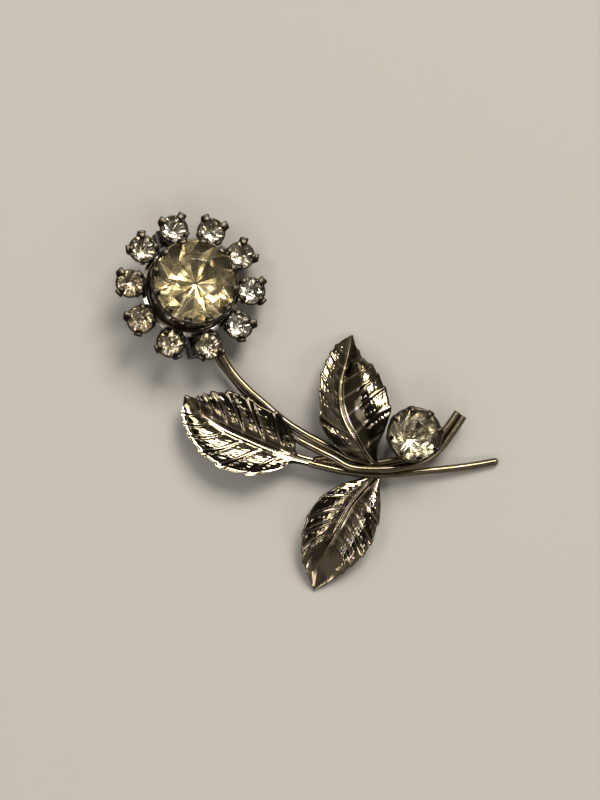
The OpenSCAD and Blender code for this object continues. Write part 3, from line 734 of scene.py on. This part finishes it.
def round_the_axis(name, shape, copies, first_angle, material):
    """Copies of a shape round z, as points in millimetres and faces."""
    seed = mesh_piece(name + "_one", *shape, material)
    mesh = seed.data
    bpy.data.objects.remove(seed)
    grid = grown(name, mesh, ring_of_copies, Copies=copies, First_Angle=first_angle,
                 Finish=material)
    points = np.array([v.co[:] for v in grid.data.vertices]) / MM
    faces = [tuple(f.vertices) for f in grid.data.polygons]
    bpy.data.objects.remove(grid)
    return points, faces


ring_of_copies = ring_of_copies_tree()
cup_plating = plated("cup_plating", 500, (0.105, 0.087, 0.056), (0.07, 0.056, 0.035),
                     (0.10, 0.09, 0.085), 0.15)
# The claws' plating is far darker than the cups', as painted shade for the dark that their flat
# tops show.
claw_plating_and_shade = plated("claw_plating_and_shade", 700, (0.042, 0.035, 0.024), (0.026, 0.021, 0.014),
                      (0.04, 0.035, 0.030), 0.2, polish=2.0)


def finish_claws(piece, body_faces, all_faces):
    """Gives the claws, whose faces follow the body's in each copy, their own finish."""
    piece.data.materials.append(claw_plating_and_shade)
    for i, face in enumerate(piece.data.polygons):
        face.material_index = int(i % all_faces >= body_faces)


bud_claws = round_the_axis("bud_claws", claw_shape(BUD_STONE_D, BUD_CUP, 0), BUD_CUP["claws"],
                           math.radians(BUD_CUP["phase"]), cup_plating)
bud_body = cup_body(BUD_STONE_D, BUD_CUP, 96)
bud_shape, bud_faces = joined(bud_body, bud_claws)
bud_cup = mesh_piece("bud_cup", placed(bud_shape, BUD_PLACE), bud_faces, cup_plating)
finish_claws(bud_cup, len(bud_body[1]), len(bud_faces))
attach(bud_cup, "root")
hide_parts("leaf_spray")

# The flower head is a rolled brass ring over a thin plate. A cup with twelve small claws
# stands in the middle and ten little cups stand round it on the ring, all soldered on and
# plated together. The two outer claws of each little cup stand off before they fold.
CENTRE_STONE_D, PETAL_STONE_D, PETAL_COUNT = 10, 3.1, 10
RIM_R, PLATE_T, PETAL_CIRCLE_R = 5.6, 0.5, 7.45
FIRST_PETAL, PETAL_STEP, PETAL_FLARE = 18, 36, 0.32
RING_SLOPE, RING_FLAT, RING_SIDES = math.radians(27), 0.08, 40
CENTRE_CUP = {"wall": 0.3, "floor": 0.3, "base": 0.80, "claws": 12, "phase": 2.5,
              "claw_w": 0.9, "claw_t": 0.35, "reach": 0.6,
              "widths": [1.1, 1.3, 1.3, 1.2, 1.05, 0.5]}
PETAL_CUP = {"wall": 0.2, "floor": 0.2, "base": 0.86, "claws": 4, "phase": 45,
             "claw_w": 0.6, "claw_t": 0.26, "reach": 0.45,
             "widths": [1.9, 1.8, 1.7, 1.5, 1.2, 0.6]}
HEAD_PLACE = (Matrix.Translation(CENTRE_SHIFT + Vector((HEAD_X, HEAD_Y, HEAD_Z)))
              @ Matrix.Rotation(LEAN_TURN, 4, "Z") @ Matrix.Rotation(HEAD_LEAN, 4, "Y"))


def petal_step(k):
    """From the head's frame to the base of petal k, whose own x points outwards."""
    return (Matrix.Rotation(math.radians(FIRST_PETAL + PETAL_STEP * (k - 1)), 4, "Z")
            @ Matrix.Translation((PETAL_CIRCLE_R, 0, -RIM_D / 2)))


# The ring is round wire, worn flat along its outer slope
tube = np.linspace(0, 2 * np.pi, RING_SIDES, endpoint=False)
section = RIM_D / 2 * np.stack([np.cos(tube), np.sin(tube)], -1)
outwards = np.array([math.sin(RING_SLOPE), math.cos(RING_SLOPE)])
worn_off = np.maximum(section @ outwards - (RIM_D / 2 - RING_FLAT), 0)
section -= worn_off[:, None] * outwards
rolled_ring = turned([(RIM_R + x, height) for x, height in section], 160)
plate = turned([(0, -RIM_D / 2), (RIM_R, -RIM_D / 2), (RIM_R, PLATE_T - RIM_D / 2),
                (0, PLATE_T - RIM_D / 2)], 120)
centre_claws = round_the_axis("centre_claws", claw_shape(CENTRE_STONE_D, CENTRE_CUP, 0),
                              CENTRE_CUP["claws"], math.radians(CENTRE_CUP["phase"]), cup_plating)
petal_shells = [cup_body(PETAL_STONE_D, PETAL_CUP, 48)]
for quarter in range(4):
    angle = PETAL_CUP["phase"] + 90 * quarter
    flare = PETAL_FLARE if math.cos(math.radians(angle)) > 0 else 0
    claw_points, claw_faces = claw_shape(PETAL_STONE_D, PETAL_CUP, flare)
    turn = Matrix.Rotation(math.radians(angle), 4, "Z")
    petal_shells.append((placed(claw_points, turn), claw_faces))
one_petal, one_petal_faces = joined(*petal_shells)
one_petal = placed(one_petal, Matrix.Translation((PETAL_CIRCLE_R, 0, -RIM_D / 2)))
petal_ring = round_the_axis("petal_ring", (one_petal, one_petal_faces), PETAL_COUNT,
                            math.radians(FIRST_PETAL), cup_plating)
ring_plating = plated("ring_plating", 500, (0.62, 0.57, 0.48), (0.30, 0.27, 0.21),
                      (0.52, 0.47, 0.48), 0.15)
centre_body = cup_body(CENTRE_STONE_D, CENTRE_CUP, 120)
centre_whole = joined(centre_body, centre_claws)
for part_name, (part_points, part_faces), finish, in_body, in_all in (
    ("rolled_ring", joined(rolled_ring, plate), ring_plating, 1, 1),
    ("centre_cup", centre_whole, cup_plating, len(centre_body[1]), len(centre_whole[1])),
    ("petal_cups", petal_ring, cup_plating, len(petal_shells[0][1]), len(one_petal_faces)),
):
    part = mesh_piece(part_name, placed(part_points, HEAD_PLACE), part_faces, finish)
    if in_all > 1:
        finish_claws(part, in_body, in_all)
    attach(part, "root")
    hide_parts("flower_mount")

# The stones are pressed and polished glass, cut as brilliants: an eight-sided table, crown
# facets, and sixteen long facets behind that meet in a point. Their backs carry metal foil,
# so what one sees in them is light that the foil throws back. The big one is champagne.
CUT_EDGE = 0.003
# Shares of a stone's diameter: radius and depth of the ring where its back facets break, how
# far every second corner of that ring lies out of line, and how far its point is off centre
BACK_RING, SMALL_BACK_RING = (0.27, 0.1921), (0.14, 0.325)
BACK_SKEW, SMALL_SKEW = 0.013, 0.010
CENTRE_POINT_OFF, BUD_POINT_OFF, SMALL_POINT_OFF = (0.035, 0.0), (-0.060, -0.070), (0.09, 0.0)
FOIL_SEED, FACET_STEP = 11, 22.5
# Each petal stone's foil-age shift: above 0 older, darker foil; below 0 fresher foil, as painted
# glare on stones that catch the lamp.
PETAL_FOIL_WEAR_AND_GLARE = [0, 0, -0.4, 0, 0.6, 0.5, 0.4, 0.3, -0.5, -0.9]
PETAL_TURNS = [7, 6, 5, 3, 11, 10, 1, 0, 12, 10]


def stone_glass(name, tint):
    """Clear glass of the crown, with faint ripples left by pressing."""
    material, shader = new_material(name)
    n, link = material.node_tree.nodes, material.node_tree.links.new
    shader.inputs["Base Color"].default_value = (*tint, 1)
    shader.inputs["Transmission Weight"].default_value = 1
    shader.inputs["Metallic"].default_value = 0
    shader.inputs["Roughness"].default_value = 0.01
    shader.inputs["IOR"].default_value = 1.56
    place = n.new("ShaderNodeTexCoord")
    ripple = n.new("ShaderNodeTexNoise")
    ripple.inputs["Scale"].default_value = 260
    ripple.inputs["Detail"].default_value = 2
    bump = n.new("ShaderNodeBump")
    bump.inputs["Strength"].default_value = 0.01
    bump.inputs["Distance"].default_value = 0.02 * MM
    link(place.outputs["Object"], ripple.inputs["Vector"])
    link(ripple.outputs["Fac"], bump.inputs["Height"])
    link(bump.outputs["Normal"], shader.inputs["Normal"])
    return material


def stone_foil(name, tint, aged_tint, roughness):
    """Foil on the back facets, yellowed by chance, and on some petal stones freshened as painted
    glare.
    """
    material, shader = new_material(name)
    n, link = material.node_tree.nodes, material.node_tree.links.new
    shader.inputs["Metallic"].default_value = 1
    shader.inputs["Roughness"].default_value = roughness
    age = n.new("ShaderNodeAttribute")
    age.attribute_name = "foil_age_and_glare"
    blend = n.new("ShaderNodeMix")
    blend.data_type = "RGBA"
    blend.inputs["A"].default_value = (*tint, 1)
    blend.inputs["B"].default_value = (*aged_tint, 1)
    link(age.outputs["Fac"], blend.inputs["Factor"])
    link(blend.outputs["Result"], shader.inputs["Base Color"])
    return material


def brilliant(d, skew, point_off, back_ring):
    """Points and faces of a stone, girdle on z = 0, and how many faces are its front."""
    def ring(radius, height, n):
        """A ring of n corners, from shares of the diameter."""
        return [(radius * d * math.cos(2 * math.pi * k / n),
                 radius * d * math.sin(2 * math.pi * k / n), height * d) for k in range(n)]
    points = ring(TABLE_R, CROWN_H, 8) + ring(0.5, GIRDLE_H / 2, 16)
    points += ring(0.5, -GIRDLE_H / 2, 16) + [(point_off[0] * d, point_off[1] * d, -PAVILION_H * d)]
    # Behind, every second corner is set a little deeper, as in a hand-fed cut
    points += [(x + point_off[0] * d / 2, y + point_off[1] * d / 2,
                z + (skew if k % 2 else -skew) * d)
               for k, (x, y, z) in enumerate(ring(back_ring[0], -back_ring[1], 16))]
    upper, lower, tip, back = 8, 24, 40, 41
    faces = [tuple(range(8))]
    for k in range(8):
        after = (k + 1) % 8
        g0, g1, g2 = upper + 2 * k, upper + 2 * k + 1, upper + (2 * k + 2) % 16
        faces += [(k, g0, g1), (k, g1, after), (after, g1, g2)]
    for k in range(16):
        after = (k + 1) % 16
        faces.append((upper + k, lower + k, lower + after, upper + after))
    front = len(faces)
    for k in range(16):
        after = (k + 1) % 16
        faces += [(back + k, tip, back + after), (lower + k, back + k, back + after),
                  (lower + k, back + after, lower + after)]
    return points, faces, front


def stone(name, d, matrix, glass, foil, skew, back_ring, point_off, wear=0):
    """A set stone: glass in front, foil behind aged by chance, then shifted; below 0 is painted
    glare.
    """
    points, faces, front = brilliant(d, skew, point_off, back_ring)
    piece = mesh_piece(name + "_cut", placed(points, matrix), faces, glass, smooth=False)
    piece.data.materials.append(foil)
    for i, face in enumerate(piece.data.polygons):
        face.material_index = 0 if i < front else 1
    # wear below 0 freshens the foil as painted glare; above 0 it ages it.
    ages_and_glare = np.clip(foil_ages.random(len(faces)) ** 1.5 + wear, 0, 1)
    piece.data.attributes.new("foil_age_and_glare", "FLOAT", "FACE").data.foreach_set("value", ages_and_glare)
    cut = bmesh.new()
    cut.from_mesh(piece.data)
    bmesh.ops.bevel(cut, geom=list(cut.edges), offset=CUT_EDGE * d * MM, segments=1,
                    affect="EDGES", clamp_overlap=True)
    bmesh.ops.recalc_face_normals(cut, faces=cut.faces)
    cut.to_mesh(piece.data)
    cut.free()
    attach(piece, "root")
    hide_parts(name)
    return piece


foil_ages = np.random.default_rng(FOIL_SEED)
champagne_glass = stone_glass("champagne_crown", (1.0, 0.97, 0.88))
clear_glass = stone_glass("clear_crown", (1.0, 0.99, 0.97))
champagne_foil = stone_foil("champagne_foil", (1.0, 0.92, 0.68), (0.60, 0.50, 0.31), 0.15)
clear_foil = stone_foil("clear_foil", (1.0, 0.97, 0.89), (0.68, 0.58, 0.41), 0.12)
warm_foil = stone_foil("warm_foil", (1.0, 0.94, 0.77), (0.62, 0.54, 0.38), 0.13)
stone(
    "centre_stone", CENTRE_STONE_D,
    HEAD_PLACE @ Matrix.Translation((0, 0, girdle_height(CENTRE_STONE_D, CENTRE_CUP))),
    champagne_glass, champagne_foil, BACK_SKEW, BACK_RING, CENTRE_POINT_OFF,
)
stone(
    "bud_stone", BUD_STONE_D,
    BUD_PLACE @ Matrix.Translation((0, 0, girdle_height(BUD_STONE_D, BUD_CUP))),
    clear_glass, warm_foil, BACK_SKEW, BACK_RING, BUD_POINT_OFF,
)
for k in range(1, PETAL_COUNT + 1):
    # Each stone sits in its claws as it happened to fall, turned by whole facets
    own_turn = Matrix.Rotation(math.radians(FACET_STEP * PETAL_TURNS[k - 1]), 4, "Z")
    lift = Matrix.Translation((0, 0, girdle_height(PETAL_STONE_D, PETAL_CUP)))
    stone("petal_stone_%d" % k, PETAL_STONE_D, HEAD_PLACE @ petal_step(k) @ lift @ own_turn,
          clear_glass, clear_foil, SMALL_SKEW, SMALL_BACK_RING,
          SMALL_POINT_OFF, PETAL_FOIL_WEAR_AND_GLARE[k - 1])

# The pin at the back is steel and plated with the rest. It is hidden when the brooch lies
# on it, so its solid stays as it is and gets the plating, which is painted darker than the
# rest as shade, so that its ends seen between the petals read as shadow.
pin_plating_and_shade = plated("pin_plating_and_shade", 380, (0.07, 0.062, 0.05), (0.05, 0.044, 0.034),
                     (0.07, 0.062, 0.058), 0.2, polish=2.5)
for slot_of_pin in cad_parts["pin_back"].material_slots:
    slot_of_pin.material = pin_plating_and_shade

# The brooch lies on a plain pale floor, so wide that its edge lies near the horizon. Its half
# width is in metres.
FLOOR_HALF = 12
floor_paint, floor_shader = new_material("floor_paint")
floor_shader.inputs["Roughness"].default_value = 0.8
floor_shader.inputs["Base Color"].default_value = (0.41, 0.395, 0.37, 1)
floor_mesh = bpy.data.meshes.new("pale_floor")
floor_mesh.from_pydata([(-FLOOR_HALF, -FLOOR_HALF, 0), (FLOOR_HALF, -FLOOR_HALF, 0),
                        (FLOOR_HALF, FLOOR_HALF, 0), (-FLOOR_HALF, FLOOR_HALF, 0)],
                       [], [(0, 1, 2, 3)])
floor_mesh.materials.append(floor_paint)
floor = in_scene("pale_floor", floor_mesh)


# A strong soft lamp stands at the upper right, and four weak ones round the brooch light the
# slopes of the leaves and stones. The room is grey at the sides and dark overhead, which is
# what the plating and the flat tops of the stones show.
def soft_lamp(name, azimuth, elevation, distance, size, watts, tint):
    """A square lamp that looks at the origin from an azimuth and elevation in degrees."""
    data = bpy.data.lights.new(name, "AREA")
    data.size, data.energy, data.color = size, watts, tint
    lamp = in_scene(name, data)
    a, e = math.radians(azimuth), math.radians(elevation)
    lamp.location = Vector((math.cos(a) * math.cos(e), math.sin(a) * math.cos(e),
                            math.sin(e))) * distance
    lamp.rotation_euler = (-lamp.location).to_track_quat("-Z", "Y").to_euler()


soft_lamp("key_lamp", 62, 51, 2.2, 1.0, 49.6, (1.0, 0.95, 0.86))
soft_lamp("left_lamp", 172, 60, 2.4, 0.80, 9.2, (0.98, 0.97, 1.0))
soft_lamp("right_lamp", -35, 43, 2.4, 0.56, 6.4, (1.0, 0.96, 0.90))
soft_lamp("back_lamp", 106, 43, 2.4, 0.56, 5.6, (1.0, 0.96, 0.90))
soft_lamp("front_lamp", 248, 46, 2.4, 0.60, 7.2, (1.0, 0.94, 0.84))
world = bpy.context.scene.world
world.use_nodes = True
room = world.node_tree
direction = room.nodes.new("ShaderNodeTexCoord")
parts = room.nodes.new("ShaderNodeSeparateXYZ")
ceiling = room.nodes.new("ShaderNodeValToRGB")
for place, grey in ((0.35, 0.18), (0.55, 0.46), (0.72, 0.42), (0.94, 0.04)):
    stop = ceiling.color_ramp.elements.new(place)
    stop.color = (grey, grey, grey, 1)
ceiling.color_ramp.elements.remove(ceiling.color_ramp.elements[0])
ceiling.color_ramp.elements.remove(ceiling.color_ramp.elements[-1])
room.links.new(direction.outputs["Generated"], parts.inputs["Vector"])
room.links.new(parts.outputs["Z"], ceiling.inputs["Fac"])
room.links.new(ceiling.outputs["Color"], room.nodes["Background"].inputs["Strength"])
room.nodes["Background"].inputs["Color"].default_value = (1.0, 0.95, 0.85, 1)

# The camera looks down at 85 degrees from 220 mm, about as the photograph was taken. Its
# lens, in millimetres, frames the brooch as the photograph does.
CAMERA_ELEVATION, CAMERA_DISTANCE, CAMERA_LENS = 85, 0.220, 81.18
CAMERA_TARGET = Vector((-1.0398, 0.07, 3.0)) * MM
camera_data = bpy.data.cameras.new("photo_camera")
camera_data.lens = CAMERA_LENS
camera_data.clip_start = 0.01
camera = in_scene("photo_camera", camera_data)
slope = math.radians(CAMERA_ELEVATION)
look = Vector((0, math.cos(slope), -math.sin(slope)))
camera.location = CAMERA_TARGET - look * CAMERA_DISTANCE
camera.rotation_euler = look.to_track_quat("-Z", "Y").to_euler()
bpy.context.scene.camera = camera
bpy.context.scene.view_settings.view_transform = "Standard"
